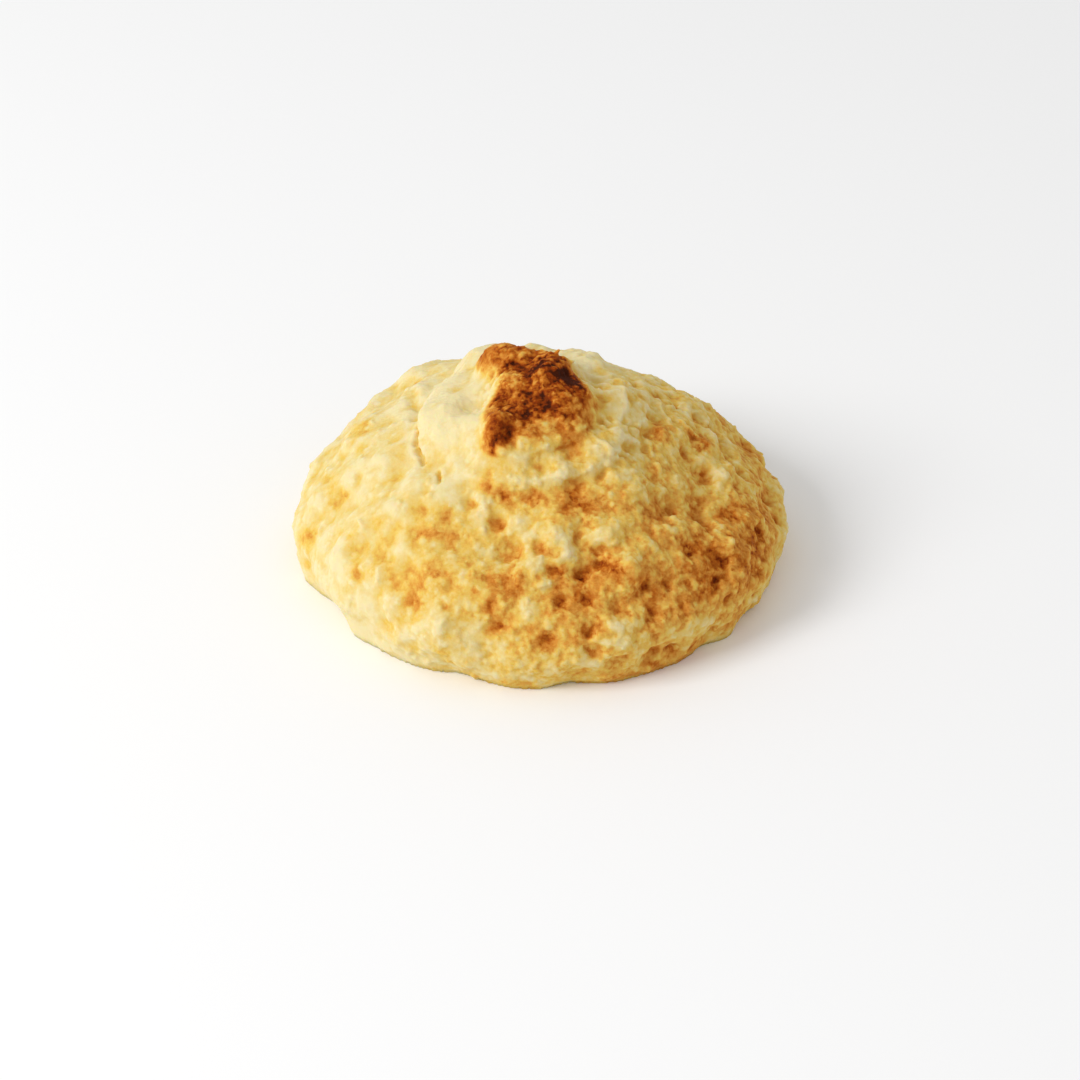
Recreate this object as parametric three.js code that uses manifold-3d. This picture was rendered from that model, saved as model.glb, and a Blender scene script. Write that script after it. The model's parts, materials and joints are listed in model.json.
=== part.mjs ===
// A coconut macaroon, baked as one piece: a domed mound of coconut dough with a flat
// foot, a short coil of dough piped on top of it and a browned peak over the coil.
// Units are millimetres and +Z is up. The origin is on the flat foot, under the middle
// of the mound. +X is the side that baked darkest and -Y is the front. Azimuths are in
// degrees, counter-clockwise from +X as seen from above.
import * as THREE from "three";
import { ImprovedNoise } from "three/addons/math/ImprovedNoise.js";
import { mergeVertices } from "three/addons/utils/BufferGeometryUtils.js";
import Module from "manifold-3d";

const { degToRad, lerp, smoothstep } = THREE.MathUtils;

// Driving dimensions of the mound
const BELLY_RADIUS = 34.1; // the widest ring
const BELLY_HEIGHT = 6.2; // how high that ring is
const FOOT_RADIUS = 32.3; // where the dough meets the baking tray
const CROWN_HEIGHT = 25.2; // the mound's top, under the coil and the peak
const SPARE_DEPTH = 1.5; // dough below the tray, which the foot cut takes off
const SPARE_RADIUS = 27; // the flat underside of that spare dough

// The mesh: how finely the ball that becomes the mound is divided
const BALL_DETAIL = 17;
const PROFILE_STEPS = 400;
const POLE_RADIUS = 4; // nearer the axis than this, the surface is pushed straight up
const PLACE_TOLERANCE = 1e-5; // corners closer than this are one corner

// The coil on top: soft steps where one turn of dough rests on the one below
const COIL_STEP = { height: 1.6, width: 1.5, wander: 1.6, wavelength: 9 };
const OUTER_TURN = { radius: 16.4, drift: 1.4, driftAt: 195, weakAt: 60, weakest: 0.35 };
const INNER_TURN = { radius: 12.2, share: 0.6, middle: 5, halfTurn: 65 };
const COIL_CREST = { radius: 12.2, width: 3.2, height: 0.9 };

// The dough's own unevenness, which the tray evened out near the foot
const DOUGH_WAVES = [
  { wavelength: 12, height: 1.1 },
  { wavelength: 5.4, height: 1.0 },
];
const NOISE_START = new THREE.Vector3(31.7, 12.3, 57.1);
const FOOT_EVENNESS = 0.35;
const FOOT_BAND = 5;

// Lumps and hollows. rise is how high up the mound each one is centred.
const MOUND_LUMPS = [
  { name: "left shoulder", azimuth: 131, rise: 16.5, reach: 4.4, height: 1.7 },
  { name: "left shoulder's end", azimuth: 144, rise: 14.5, reach: 3.2, height: 1.9 },
  { name: "left flank knob", azimuth: 161, rise: 9.5, reach: 3.2, height: 0.9 },
  { name: "coil's back edge", azimuth: 116, rise: 22.8, reach: 4.2, height: 0.9 },
  { name: "back knob", azimuth: 75, rise: 19.0, reach: 2.1, height: 1.1 },
  { name: "right back dip", azimuth: 54, rise: 16.5, reach: 7, height: -0.9 },
  { name: "right back flank", azimuth: 8, rise: 8, reach: 6, height: 1.1 },
  { name: "right knob", azimuth: -13, rise: 21.8, reach: 2.4, height: 0.9 },
  { name: "right hollow", azimuth: -19, rise: 19.0, reach: 3.2, height: -1.5 },
  { name: "deep right hollow", azimuth: -32, rise: 16.3, reach: 3.0, height: -1.7 },
  { name: "ridge left of it", azimuth: -43, rise: 17.5, reach: 2.6, height: 0.8 },
  { name: "front lip", azimuth: -66, rise: 14.8, reach: 2.8, height: 1.2 },
  { name: "hollow under the lip", azimuth: -68, rise: 11.5, reach: 2.6, height: -0.9 },
  { name: "front hollow", azimuth: -75, rise: 17.2, reach: 2.8, height: -1.1 },
  { name: "front dip", azimuth: -103, rise: 17.8, reach: 3.4, height: -0.8 },
  { name: "right cheek", azimuth: -37, rise: 10.8, reach: 6, height: 0.6 },
  { name: "left cheek", azimuth: 186, rise: 5, reach: 6, height: 0.8 },
];

// Scallops and bites round the foot, which the tray's edge shows in plan
const FOOT_LUMPS = [
  { azimuth: 192, reach: 2.8, height: 0.9 },
  { azimuth: 209, reach: 4.4, height: -1.0 },
  { azimuth: 220, reach: 2.6, height: 0.8 },
  { azimuth: 249, reach: 5.0, height: -0.7 },
  { azimuth: 266, reach: 3.2, height: 0.2 },
  { azimuth: 278, reach: 2.4, height: -1.0 },
  { azimuth: 312, reach: 3.4, height: -0.9 },
  { azimuth: 320, reach: 2.0, height: 0.9 },
  { azimuth: 328, reach: 3.0, height: -1.0 },
  { azimuth: 349, reach: 3.0, height: 0.5 },
  { azimuth: 22, reach: 3.0, height: -0.7 },
  { azimuth: 48, reach: 3.6, height: 0.6 },
  { azimuth: 79, reach: 3.2, height: -0.7 },
  { azimuth: 104, reach: 3.8, height: 0.7 },
  { azimuth: 133, reach: 2.8, height: -0.6 },
  { azimuth: 158, reach: 3.4, height: 0.5 },
];
const FOOT_LUMP_RISE = 1.2;

// The browned peak: a low mound with lobes, placed by x and y
const PEAK_MOUND = { x: -0.4, y: -2.3, reachX: 8.0, reachY: 8.4, height: 4.2, steepness: 4 };
const PEAK_LOBES = [
  { name: "burnt crest", x: 3.0, y: 0.2, reachX: 3.8, reachY: 3.0, height: 2.9 },
  { name: "back lobe", x: -5.2, y: 3.0, reachX: 2.8, reachY: 2.8, height: 2.6 },
  { name: "front knob", x: -5.8, y: -11.8, reachX: 2.0, reachY: 1.9, height: 2.2 },
  { name: "right skirt", x: 4.6, y: -8.8, reachX: 3.0, reachY: 2.8, height: 1.2 },
  { name: "left notch", x: -8.2, y: -3.8, reachX: 2.8, reachY: 3.0, height: -1.8 },
  { name: "furrow", x: -1.4, y: -1.8, reachX: 1.8, reachY: 2.6, height: -1.1 },
];

// The outline that turns round the axis, from the top to the spare dough's middle
const profile = new THREE.SplineCurve([
  new THREE.Vector2(0, CROWN_HEIGHT),
  new THREE.Vector2(0.3 * BELLY_RADIUS, 0.968 * CROWN_HEIGHT),
  new THREE.Vector2(0.55 * BELLY_RADIUS, 0.857 * CROWN_HEIGHT),
  new THREE.Vector2(0.78 * BELLY_RADIUS, 0.65 * CROWN_HEIGHT),
  new THREE.Vector2(0.94 * BELLY_RADIUS, 0.42 * CROWN_HEIGHT),
  new THREE.Vector2(BELLY_RADIUS, BELLY_HEIGHT),
  new THREE.Vector2(0.98 * BELLY_RADIUS, 0.35 * BELLY_HEIGHT),
  new THREE.Vector2(FOOT_RADIUS, 0),
  new THREE.Vector2(SPARE_RADIUS, -SPARE_DEPTH),
]);
const outline = profile.getSpacedPoints(PROFILE_STEPS);
outline.push(new THREE.Vector2(0, -SPARE_DEPTH));

const noise = new ImprovedNoise();

function unevenness(place, wavelength) {
  const p = place.clone().divideScalar(wavelength).add(NOISE_START);
  return noise.noise(p.x, p.y, p.z);
}

function bell(distance, reach) {
  return Math.exp(-((distance / reach) ** 2));
}

function angleBetween(a, b) {
  return Math.abs(((((a - b + 180) % 360) + 360) % 360) - 180);
}

function roundTheAxis(flat, turn) {
  return new THREE.Vector3(flat.x * Math.cos(turn), flat.x * Math.sin(turn), flat.y);
}

// The area swept by the outline down to each of its points, which spaces the mesh
// evenly. The spare dough counts for little, since the foot cut takes it off.
const sweptArea = [0];
for (let i = 1; i < outline.length; i++) {
  const length = outline[i].distanceTo(outline[i - 1]);
  const band = length * (outline[i].x + outline[i - 1].x);
  sweptArea.push(sweptArea[i - 1] + (outline[i].y < 0 ? 0.1 * band : band));
}

// A point of the outline and the way out of the dough there, at a share of that area
function outlineAt(share) {
  const area = share * sweptArea.at(-1);
  const found = sweptArea.findIndex((swept) => swept >= area);
  const i = Math.max(found, 1);
  const part = (area - sweptArea[i - 1]) / (sweptArea[i] - sweptArea[i - 1]);
  const point = outline[i - 1].clone().lerp(outline[i], part);
  const along = outline[i].clone().sub(outline[i - 1]).normalize();
  const lean = smoothstep(point.x, 0, POLE_RADIUS);
  const out = new THREE.Vector2(-along.y * lean, along.x).normalize();
  return { point, out };
}

// Where on the mound a lump is centred
function lumpCentre(azimuth, rise) {
  const i = outline.findIndex((p) => p.y <= rise);
  return roundTheAxis(outline[i], degToRad(azimuth));
}

const lumps = [
  ...MOUND_LUMPS.map((lump) => ({ ...lump, centre: lumpCentre(lump.azimuth, lump.rise) })),
  ...FOOT_LUMPS.map((lump) => ({
    ...lump,
    centre: lumpCentre(lump.azimuth, FOOT_LUMP_RISE),
  })),
];

// How far the dough bulges out, or in, at a place on the smooth mound
function bulge(place) {
  const footShare = 1 - smoothstep(place.z, 0, FOOT_BAND);
  const evenness = lerp(1, FOOT_EVENNESS, footShare);
  let push = 0;
  for (const { wavelength, height } of DOUGH_WAVES)
    push += evenness * height * unevenness(place, wavelength);
  for (const { centre, reach, height } of lumps)
    push += height * bell(place.distanceTo(centre), reach);
  return push;
}

// A step down in the coil, on its own wandering line
function coilStep(radius, edge, place) {
  const wander = COIL_STEP.wander * unevenness(place, COIL_STEP.wavelength);
  const line = edge + wander;
  return 1 - smoothstep(radius, line - COIL_STEP.width, line);
}

// How far the coil lifts the surface
function coilLift(place, azimuth, radius) {
  const { drift, driftAt, weakAt, weakest } = OUTER_TURN;
  const outerEdge = OUTER_TURN.radius + drift * Math.cos(degToRad(azimuth - driftAt));
  const outward = smoothstep(radius, 0, COIL_CREST.radius); // the turns meet at the axis
  const weak = 1 - smoothstep(angleBetween(azimuth, weakAt), 20, 110);
  const outer = lerp(1, weakest, weak * outward) * coilStep(radius, outerEdge, place);
  const { middle, halfTurn, share } = INNER_TURN;
  const turn = 1 - smoothstep(angleBetween(azimuth, middle), 0.6 * halfTurn, halfTurn);
  const inner = share * turn * outward * coilStep(radius, INNER_TURN.radius, place);
  const crest = COIL_CREST.height * bell(radius - COIL_CREST.radius, COIL_CREST.width);
  return COIL_STEP.height * (outer + inner) + crest;
}

// How far the peak lifts the surface
function peakLift({ x, y }) {
  const { reachX, reachY, height, steepness } = PEAK_MOUND;
  const reach = Math.hypot((x - PEAK_MOUND.x) / reachX, (y - PEAK_MOUND.y) / reachY);
  let lift = height * Math.exp(-(reach ** steepness));
  for (const lobe of PEAK_LOBES) {
    const away = Math.hypot((x - lobe.x) / lobe.reachX, (y - lobe.y) / lobe.reachY);
    lift += lobe.height * bell(away, 1);
  }
  return lift;
}

// The place on the macaroon that a direction from the ball's middle becomes
function surfacePoint(direction) {
  const { point, out } = outlineAt((1 - direction.z) / 2);
  const turn = Math.atan2(direction.y, direction.x);
  const place = roundTheAxis(point, turn);
  if (point.y <= -SPARE_DEPTH) return place;
  const azimuth = THREE.MathUtils.radToDeg(turn);
  const lift = coilLift(place, azimuth, point.x) + peakLift(place);
  return place
    .clone()
    .addScaledVector(roundTheAxis(out, turn), bulge(place))
    .add(new THREE.Vector3(0, 0, lift));
}

function withoutSeams(geometry) {
  geometry.deleteAttribute("normal");
  geometry.deleteAttribute("uv");
  return mergeVertices(geometry, PLACE_TOLERANCE);
}

// The whole mound, with spare dough below the foot
function moundGeometry() {
  const geometry = withoutSeams(new THREE.IcosahedronGeometry(1, BALL_DETAIL));
  const position = geometry.attributes.position;
  const direction = new THREE.Vector3();
  for (let i = 0; i < position.count; i++) {
    direction.fromBufferAttribute(position, i).normalize();
    position.setXYZ(i, ...surfacePoint(direction));
  }
  return geometry;
}

// The baking tray, which leaves the foot flat
function trayGeometry() {
  const side = 4 * BELLY_RADIUS;
  return withoutSeams(new THREE.BoxGeometry(side, side, side).translate(0, 0, -side / 2));
}

const manifold = await Module();
manifold.setup();

function solid(geometry) {
  const mesh = new manifold.Mesh({
    numProp: 3,
    vertProperties: geometry.attributes.position.array,
    triVerts: new Uint32Array(geometry.index.array),
  });
  return new manifold.Manifold(mesh);
}

function bakedGeometry() {
  const baked = solid(moundGeometry()).subtract(solid(trayGeometry())).getMesh();
  const geometry = new THREE.BufferGeometry();
  geometry.setAttribute("position", new THREE.BufferAttribute(baked.vertProperties, 3));
  geometry.setIndex(new THREE.BufferAttribute(baked.triVerts, 1));
  return geometry;
}

// Puts the middle of the outline, seen from above, on the axis
function centred(geometry) {
  geometry.computeBoundingBox();
  const middle = geometry.boundingBox.getCenter(new THREE.Vector3());
  geometry.translate(-middle.x, -middle.y, 0);
  geometry.computeVertexNormals();
  return geometry;
}

const bakedDough = new THREE.MeshStandardMaterial({
  name: "baked_dough",
  color: new THREE.Color(0.93, 0.76, 0.47),
  roughness: 0.85,
  metalness: 0,
});

const macaroon = new THREE.Mesh(centred(bakedGeometry()), bakedDough);
macaroon.name = "coconut_macaroon";

const part = new THREE.Group();
part.name = "coconut_macaroon_part";
part.add(macaroon);

export default part;
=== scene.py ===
"""A coconut macaroon, baked in one piece: its crust, its coconut and its browning.

The frame's plain solid is taken as the dough. Its lumps, hollows and cracks are pressed
in, coconut is strewn over it, everything is fused to one skin, and the skin is browned.
Azimuths are in degrees, counter-clockwise from +X as seen from above; rises are heights
above the foot, and every length in a table below is in millimetres.
"""

import json
import math
from typing import NamedTuple

import bpy
import numpy as np
from bpy.props import FloatProperty, FloatVectorProperty, IntProperty, PointerProperty
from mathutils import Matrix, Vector, noise
from mathutils.bvhtree import BVHTree

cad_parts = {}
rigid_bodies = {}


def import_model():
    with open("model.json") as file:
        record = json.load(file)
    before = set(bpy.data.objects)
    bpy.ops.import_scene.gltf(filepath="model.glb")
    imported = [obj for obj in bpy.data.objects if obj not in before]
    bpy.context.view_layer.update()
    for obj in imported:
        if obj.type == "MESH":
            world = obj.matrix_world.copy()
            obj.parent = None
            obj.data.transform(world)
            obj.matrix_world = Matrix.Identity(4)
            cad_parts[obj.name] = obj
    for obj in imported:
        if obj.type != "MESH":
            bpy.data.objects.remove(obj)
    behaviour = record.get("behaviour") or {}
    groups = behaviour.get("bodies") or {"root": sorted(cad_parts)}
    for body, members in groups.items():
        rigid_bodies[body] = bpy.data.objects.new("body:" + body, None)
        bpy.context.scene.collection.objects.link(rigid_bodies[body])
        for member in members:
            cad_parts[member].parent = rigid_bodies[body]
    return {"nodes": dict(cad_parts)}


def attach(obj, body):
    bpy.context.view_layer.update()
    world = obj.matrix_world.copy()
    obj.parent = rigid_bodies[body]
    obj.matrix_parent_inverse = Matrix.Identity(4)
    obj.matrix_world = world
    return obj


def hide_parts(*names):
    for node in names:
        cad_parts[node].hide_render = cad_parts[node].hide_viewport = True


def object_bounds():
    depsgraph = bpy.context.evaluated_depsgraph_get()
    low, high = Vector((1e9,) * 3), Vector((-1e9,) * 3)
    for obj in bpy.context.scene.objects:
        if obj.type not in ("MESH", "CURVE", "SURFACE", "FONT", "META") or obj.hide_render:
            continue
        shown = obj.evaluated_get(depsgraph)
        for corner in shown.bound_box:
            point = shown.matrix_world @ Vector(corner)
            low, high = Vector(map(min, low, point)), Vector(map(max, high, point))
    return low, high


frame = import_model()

bl_info = {
    "name": "Coconut Macaroon",
    "version": (1, 0, 0),
    "blender": (4, 5, 0),
    "location": "3D View > Sidebar > Macaroon",
    "description": "Shapes and bakes a coconut macaroon on its frame, and lights it",
    "category": "Add Mesh",
}

MM = 0.001
NODE = "coconut_macaroon"
BODY = "root"
CRUST = "macaroon_crust"
FRAME_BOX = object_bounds()


class Spot(NamedTuple):
    """A lump, or a hollow where height is below 0, and how much browner it is: baked browning,
    and painted shade where marked below.
    """

    azimuth: float
    rise: float
    reach: float
    height: float
    browning: float


class Line(NamedTuple):
    """A ridge, or a crack where height is below 0, through places (azimuth, rise)."""

    places: tuple
    width: float
    height: float
    browning: float


class Oval(NamedTuple):
    """An oval seen from above, turned by an angle, and how much browner it baked."""

    x: float
    y: float
    reach_x: float
    reach_y: float
    turn: float
    browning: float


class Waves(NamedTuple):
    """Soft random waves: how strong, of what size, and where in the noise they start."""

    strength: float
    size: float
    start: float


class Bit(NamedTuple):
    """A kind of coconut: its shape, how sizes vary, how proud and how tilted it lies."""

    name: str
    proportions: tuple
    roughness: float
    seed: int
    spread: float
    proud: float
    tilt: float


RIGHT_SPOTS = (
    # The deep funnel: its browning is painted shade at the bottom of the hollow
    Spot(-43, 18.9, 2.0, -3.2, 0.08),
    Spot(-18, 17.8, 2.5, -2.0, -0.08),
    Spot(-22, 21.1, 1.7, -0.6, 0.0),
    Spot(-40, 21.3, 1.5, -0.8, 0.02),
    Spot(-51, 20.6, 1.4, 0.9, -0.04),
    Spot(-58, 16.4, 1.2, 0.7, -0.06),
    Spot(-30, 19.0, 1.6, 1.0, -0.06),
    Spot(-34, 17.2, 4.0, -1.0, 0.04),
    Spot(-34, 13.3, 0.9, 0.9, -0.24),
    Spot(-53, 17.4, 1.1, -0.8, 0.06),
    Spot(-46, 20.5, 0.9, -0.6, 0.04),
    Spot(-13, 11.7, 0.8, -0.7, 0.12),
    Spot(-21, 11.2, 0.7, -0.8, 0.18),
    Spot(-15, 22.6, 1.1, 0.7, 0.38),
    Spot(-4, 19.0, 0.8, 0.5, 0.42),
    Spot(-16, 17.4, 1.0, 0.7, -0.06),
    Spot(-33, 18.2, 1.1, 0.7, -0.05),
    Spot(-38, 15.5, 1.0, 0.6, 0.05),
    Spot(-45, 3.4, 2.4, -1.2, 0.10),
    Spot(-35, 5.0, 2.4, -1.0, 0.10),
    Spot(-14, 6.0, 3.2, -0.7, 0.02),
)
FRONT_SPOTS = (
    Spot(-105, 18.9, 1.2, -0.7, 0.14),
    Spot(-71, 11.3, 1.5, -1.0, 0.16),
    Spot(-85, 12.3, 0.8, -0.9, 0.20),
    Spot(-78, 12.2, 0.7, -0.7, 0.18),
    Spot(-90, 17.6, 1.0, -0.8, 0.22),
    Spot(-78, 14.8, 1.3, -1.1, 0.26),
    Spot(-101, 9.6, 1.4, -0.8, 0.16),
    Spot(-79, 18.3, 0.8, -0.5, 0.10),
    Spot(-87, 15.6, 1.1, -0.9, 0.22),
    Spot(-83, 18.6, 2.1, 0.9, -0.14),
    Spot(-82, 16.8, 1.5, 0.6, -0.14),
    Spot(-89, 14.1, 0.9, 0.6, -0.26),
    Spot(-69, 17.8, 2.0, 1.1, -0.10),
    Spot(-63, 19.4, 1.4, 0.5, 0.0),
    Spot(-72, 14.2, 1.5, 0.3, -0.14),
    Spot(-96, 14.6, 1.2, 0.5, 0.10),
    Spot(-93, 11.0, 1.3, 0.5, -0.05),
    Spot(-62, 12.6, 1.0, -0.6, 0.14),
)
LEFT_SPOTS = (
    Spot(-165, 13.6, 1.1, -0.35, 0.10),
    Spot(-165, 8.3, 1.2, -0.35, 0.10),
    Spot(-154, 7.4, 1.0, -0.35, 0.08),
    Spot(-139, 10.1, 1.3, -0.35, 0.09),
    Spot(-139, 6.9, 1.2, -0.42, 0.08),
    Spot(-137, 16.0, 1.2, -0.35, 0.08),
    Spot(-133, 18.7, 1.2, -0.42, 0.10),
    Spot(-129, 16.7, 1.3, -0.42, 0.12),
    Spot(-135, 13.1, 1.4, -0.42, 0.09),
    Spot(-127, 13.2, 1.4, -0.42, 0.11),
    Spot(-118, 14.7, 1.3, -0.42, 0.11),
    Spot(-122, 10.7, 1.7, -0.42, 0.10),
    Spot(-113, 11.4, 0.7, -0.35, 0.07),
    Spot(-128, 6.1, 1.5, -0.7, 0.08),
    Spot(-123, 18.8, 1.2, -0.35, 0.12),
    Spot(-106, 19.1, 1.2, -0.7, 0.09),
    Spot(-102, 11.9, 0.9, -0.42, 0.18),
    Spot(-104, 14.6, 1.2, -0.28, 0.15),
    Spot(-162, 18.6, 1.2, -0.28, 0.07),
    Spot(172, 17.9, 1.2, -0.28, 0.12),
    Spot(168, 12.1, 1.2, -0.28, 0.11),
    Spot(-177, 13.1, 1.3, -0.35, 0.07),
    Spot(-153, 18.9, 1.3, -0.35, 0.08),
    Spot(-148, 14.6, 1.6, 0.5, -0.06),
    Spot(-150, 10.6, 1.7, 0.5, -0.08),
    Spot(-128, 9.0, 1.4, 0.5, -0.08),
    Spot(-143, 17.6, 1.5, 0.4, -0.06),
    Spot(152, 13.4, 3.0, 1.0, 0.00),
    Spot(168, 11.2, 2.6, 0.7, 0.00),
    Spot(142, 16.9, 1.8, -0.7, 0.02),
    Spot(135, 18.6, 2.4, 0.6, 0.00),
)
COIL_SPOTS = (
    Spot(-112, 22.2, 1.3, -0.3, 0.26),
    Spot(-135, 21.9, 1.0, -0.3, 0.16),
    Spot(-104, 21.8, 0.8, -0.4, 0.34),
    Spot(-92, 21.7, 0.9, -0.4, 0.36),
    Spot(-10, 26.6, 1.3, -0.7, 0.05),
    Spot(-31, 25.3, 1.2, -0.6, 0.06),
    Spot(-120, 24.2, 1.6, 0.4, -0.04),
    Spot(-150, 24.6, 1.8, 0.4, -0.05),
    Spot(-80, 24.0, 1.6, 0.4, -0.06),
)
# Browned areas with no shape of their own: their height is 0
PATCHES = (
    # The right cheek and shoulder
    Spot(-42, 12.8, 3.4, 0, 0.76),
    Spot(-36, 10.6, 3.4, 0, 0.54),
    Spot(-50, 12.6, 2.6, 0, 0.26),
    Spot(-45, 8.4, 2.6, 0, 0.24),
    Spot(-56, 4.6, 2.6, 0, 0.10),
    Spot(-38, 6.0, 2.0, 0, -0.10),
    Spot(-46, 14.8, 2.2, 0, 0.24),
    Spot(-30, 13.4, 3.2, 0, 0.34),
    Spot(-20, 12.2, 4.6, 0, 0.40),
    Spot(-26, 8.6, 3.2, 0, 0.40),
    Spot(-24, 10.6, 2.0, 0, 0.12),
    Spot(-4, 11.6, 4.4, 0, 0.26),
    Spot(12, 13.0, 3.0, 0, 0.24),
    Spot(24, 16.4, 2.6, 0, 0.34),
    Spot(34, 17.2, 2.2, 0, 0.34),
    Spot(-15, 22.6, 1.3, 0, 0.42),
    Spot(-4, 19.2, 1.3, 0, 0.50),
    # The hollow ground above them, browned partly as baked and partly as painted shade of the
    # valley
    Spot(-49, 18.6, 3.6, 0, 0.26),
    Spot(-24, 18.2, 4.0, 0, 0.10),
    Spot(-60, 16.8, 4.0, 0, 0.10),
    Spot(12, 22.0, 6.0, 0, -0.06),
    Spot(-10, 22.6, 4.0, 0, 0.0),
    # The front right
    Spot(-60, 12.0, 3.2, 0, 0.40),
    Spot(-54, 9.4, 3.0, 0, 0.30),
    Spot(-49, 6.2, 2.0, 0, -0.10),
    Spot(-66, 13.8, 1.8, 0, 0.26),
    Spot(-70, 15.5, 1.6, 0, 0.50),
    Spot(-63, 9.0, 2.6, 0, 0.20),
    # The front
    Spot(-77, 13.4, 3.0, 0, 0.38),
    Spot(-84, 14.6, 2.5, 0, 0.38),
    Spot(-84, 12.0, 2.0, 0, 0.30),
    Spot(-86, 17.2, 1.4, 0, 0.16),
    Spot(-99, 14.0, 3.2, 0, 0.38),
    Spot(-102, 11.6, 1.6, 0, 0.24),
    Spot(-89, 8.8, 2.8, 0, 0.28),
    Spot(-97, 5.6, 2.0, 0, 0.14),
    Spot(-86, 5.6, 2.0, 0, -0.08),
    Spot(-79, 9.4, 2.4, 0, 0.26),
    Spot(-72, 6.2, 2.2, 0, 0.12),
    Spot(-93, 17.0, 3.4, 0, -0.14),
    Spot(-104, 7.0, 3.6, 0, -0.10),
    Spot(-71, 9.0, 1.8, 0, -0.12),
    Spot(-92, 12.6, 1.8, 0, -0.14),
    # The band below the coil
    Spot(-77, 21.7, 2.6, 0, 0.30),
    Spot(-71, 20.5, 1.8, 0, 0.26),
    Spot(-63, 21.0, 1.4, 0, 0.20),
    Spot(-84, 20.2, 1.6, 0, 0.24),
    Spot(-93, 21.7, 1.4, 0, 0.24),
    Spot(-97, 20.4, 1.2, 0, 0.20),
    Spot(-104, 21.9, 1.8, 0, 0.28),
    Spot(-113, 22.4, 1.6, 0, 0.22),
    Spot(-86, 22.6, 4.0, 0, 0.07),
    # The foot's edge
    Spot(-72, 1.0, 1.4, 0, 0.50),
    Spot(-66, 0.8, 1.2, 0, 0.40),
    Spot(-60, 1.2, 1.6, 0, 0.50),
    Spot(-52, 1.2, 2.2, 0, 0.60),
    Spot(-38, 3.0, 1.8, 0, 0.50),
    # The left
    Spot(-124, 18.0, 2.4, 0, 0.24),
    Spot(-130, 16.4, 1.8, 0, 0.14),
    Spot(-119, 14.6, 3.2, 0, 0.24),
    Spot(-123, 10.6, 3.0, 0, 0.22),
    Spot(-131, 12.4, 3.4, 0, 0.08),
    Spot(-140, 9.8, 2.0, 0, 0.16),
    Spot(-136, 13.7, 2.4, 0, 0.10),
    Spot(-114, 17.4, 2.4, 0, 0.12),
    Spot(172, 17.5, 2.6, 0, 0.18),
    Spot(-167, 13.0, 2.0, 0, 0.18),
    Spot(-166, 7.5, 1.8, 0, 0.20),
    Spot(-150, 17.0, 3.0, 0, 0.07),
    Spot(-178, 9.0, 7.0, 0, 0.06),
    Spot(-142, 15.0, 5.0, 0, 0.05),
    Spot(-136, 3.0, 5.0, 0, -0.06),
    # The back
    Spot(75, 9.0, 6.0, 0, 0.34),
    Spot(84, 14.0, 3.4, 0, 0.24),
    Spot(110, 13.5, 5.0, 0, 0.26),
    Spot(52, 5.5, 4.0, 0, 0.34),
    Spot(142, 7.0, 4.0, 0, 0.22),
    Spot(160, 23.0, 7.0, 0, -0.08),
    Spot(128, 18.0, 2.6, 0, 0.18),
    Spot(60, 17.0, 3.0, 0, 0.20),
    Spot(60, 24.0, 1.4, 0, 0.30),
)
# Ridges and grooves of the dough
RIDGES = (
    # The coil's left edge
    Line(((152, 20.4), (163, 21.2), (178, 22.2), (-170, 22.6)), 0.9, -0.7, 0.05),
    # The coil's front edge and the groove below it
    Line(((-134, 21.9), (-120, 22.0), (-107, 22.7), (-94, 23.0), (-81, 23.1)), 1.4, 0.6, -0.08),
    Line(((-81, 23.1), (-67, 23.6), (-50, 24.8), (-39, 25.2)), 1.2, 0.8, -0.10),
    Line(((-108, 20.9), (-94, 21.0), (-80, 21.4), (-68, 21.5)), 1.4, -0.5, 0.0),
    # The lip at the front right
    Line(((-75, 15.8), (-70, 15.7), (-65, 15.3)), 0.7, 0.8, 0.42),
    # Behind the peak's right side
    Line(((16, 26.6), (-3, 27.0), (-20, 26.9), (-34, 25.7)), 0.9, 0.28, 0.04),
    Line(((43, 22.0), (20, 23.4), (-3, 24.6), (-16, 24.0)), 1.0, 0.5, 0.0),
    # The right rim
    Line(((8, 17.6), (1, 17.2), (-4, 16.5), (-7, 14.7)), 0.9, -1.1, 0.10),
)
# Cracks and single shreds, too fine for the dough
FINE_LINES = (
    Line(((-170, 22.6), (-165, 22.2), (-159, 21.6), (-153, 21.2), (-148, 21.1)), 0.4, -0.9, 0.26),
    Line(((-137, 21.6), (-133, 21.2)), 0.35, -0.7, 0.22),
    Line(((-58, 26.5), (-54, 25.4), (-45, 23.4)), 0.35, 0.5, -0.06),
    Line(((-48, 26.3), (-39, 24.8), (-31, 23.3)), 0.35, 0.5, -0.06),
    Line(((-60, 25.9), (-54, 24.6), (-50, 23.6)), 0.35, 0.5, -0.06),
    Line(((-41, 26.2), (-33, 24.9), (-25, 23.5)), 0.35, 0.5, -0.06),
    Line(((16, 26.8), (-7, 27.6), (-17, 27.4), (-24, 26.6), (-35, 26.1)), 0.4, 0.25, -0.04),
    Line(((14, 26.7), (4, 27.2), (6, 26.3)), 0.35, 0.3, -0.04),
    Line(((11, 22.8), (0, 22.9), (-7, 22.0)), 0.35, 0.5, -0.06),
    Line(((7, 22.5), (11, 21.7), (15, 19.3)), 0.35, 0.5, -0.06),
    Line(((-23, 24.4), (-22, 22.9), (-34, 20.9)), 0.35, 0.45, -0.04),
    Line(((-2, 21.8), (-3, 19.7)), 0.35, 0.45, -0.06),
)
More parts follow.
